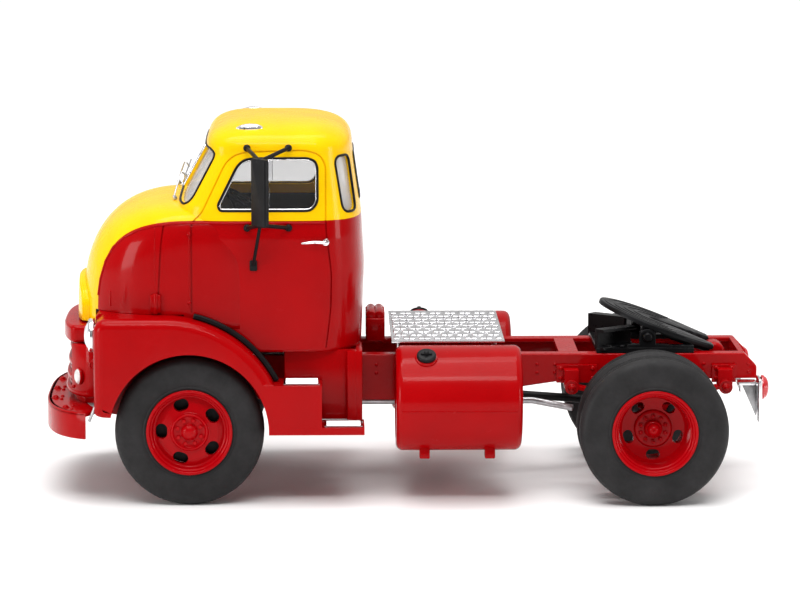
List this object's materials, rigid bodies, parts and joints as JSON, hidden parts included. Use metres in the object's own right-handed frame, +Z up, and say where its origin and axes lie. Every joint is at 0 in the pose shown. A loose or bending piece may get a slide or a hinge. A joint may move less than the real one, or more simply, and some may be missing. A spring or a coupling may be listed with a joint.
{
  "type": "die-cast scale model of a semi truck tractor unit",
  "caption": "Scale-model cab-over truck tractor: rounded two-colour cab, bare frame with round side tanks, rolling axles with twin rear tyres and a tilting trailer coupling plate.",
  "frame": {"origin": "on the ground, under the middle of the model's bounding box", "axes": "+X forward, +Y to the driver's left side, +Z up"},
  "size_m": [0.121, 0.0564, 0.0628],
  "materials": {
    "red_paint": "gloss",
    "yellow_paint": "gloss",
    "chassis_red": "gloss",
    "wheel_red": "gloss",
    "black_part": "satin",
    "coupling_black": "satin",
    "grey_metal": "satin",
    "axle_steel": "satin",
    "bright_trim": "polished",
    "clear_glazing": "clear",
    "lamp_white": "gloss",
    "lamp_red": "gloss",
    "tyre_rubber": "matt"
  },
  "bodies": {
    "chassis": {"frame_rail_left": "chassis_red", "frame_rail_right": "chassis_red", "crossmembers": "chassis_red", "engine_block": "chassis_red", "driveshaft": "black_part", "exhaust_pipe": "grey_metal", "front_axle_beam": "chassis_red", "front_springs": "chassis_red", "rear_axle_housing": "black_part", "rear_springs": "chassis_red", "cab_upper": "yellow_paint", "cab_lower": "red_paint", "badge_panel": "yellow_paint", "cab_floor": "black_part", "bench_seat": "black_part", "dashboard": "black_part", "steering_wheel": "black_part", "windscreen": "clear_glazing", "door_windows": "clear_glazing", "corner_windows": "clear_glazing", "rear_window": "clear_glazing", "front_fender_left": "red_paint", "front_fender_right": "red_paint", "fender_strips": "black_part", "step_treads": "bright_trim", "grille": "red_paint", "parking_lamps": "lamp_white", "headlamp_bezels": "bright_trim", "headlamp_lenses": "clear_glazing", "front_bumper": "red_paint", "bumper_irons": "grey_metal", "mirror_left": "black_part", "mirror_right": "black_part", "door_handles": "bright_trim", "wipers": "bright_trim", "roof_lamps": "bright_trim", "fuel_tank_left": "red_paint", "fuel_tank_right": "red_paint", "filler_caps": "black_part", "deck_plate": "bright_trim", "battery_box": "chassis_red", "air_tank": "chassis_red", "fifth_wheel_base": "coupling_black", "tail_brackets": "bright_trim", "tail_lamps": "lamp_red"},
    "front_axle": {"front_axle_pin": "axle_steel", "front_wheel_left": "wheel_red", "front_wheel_right": "wheel_red", "front_tyre_left": "tyre_rubber", "front_tyre_right": "tyre_rubber"},
    "rear_axle": {"rear_axle_pin": "axle_steel", "rear_wheel_left": "wheel_red", "rear_wheel_right": "wheel_red", "rear_tyres_left": "tyre_rubber", "rear_tyres_right": "tyre_rubber"},
    "coupling_plate": {"fifth_wheel_plate": "coupling_black"}
  },
  "joints": [
    {"name": "front_axle_roll", "type": "hinge", "parent": "chassis", "child": "front_axle", "pos_m": [0.036, 0, 0.0123], "axis": [0, 1, 0], "continuous": true},
    {"name": "rear_axle_roll", "type": "hinge", "parent": "chassis", "child": "rear_axle", "pos_m": [-0.0405, 0, 0.0123], "axis": [0, 1, 0], "continuous": true},
    {"name": "fifth_wheel_tilt", "type": "hinge", "parent": "chassis", "child": "coupling_plate", "pos_m": [-0.0406, 0, 0.0255], "axis": [0, 1, 0], "range_deg": [0, 21]}
  ]
}
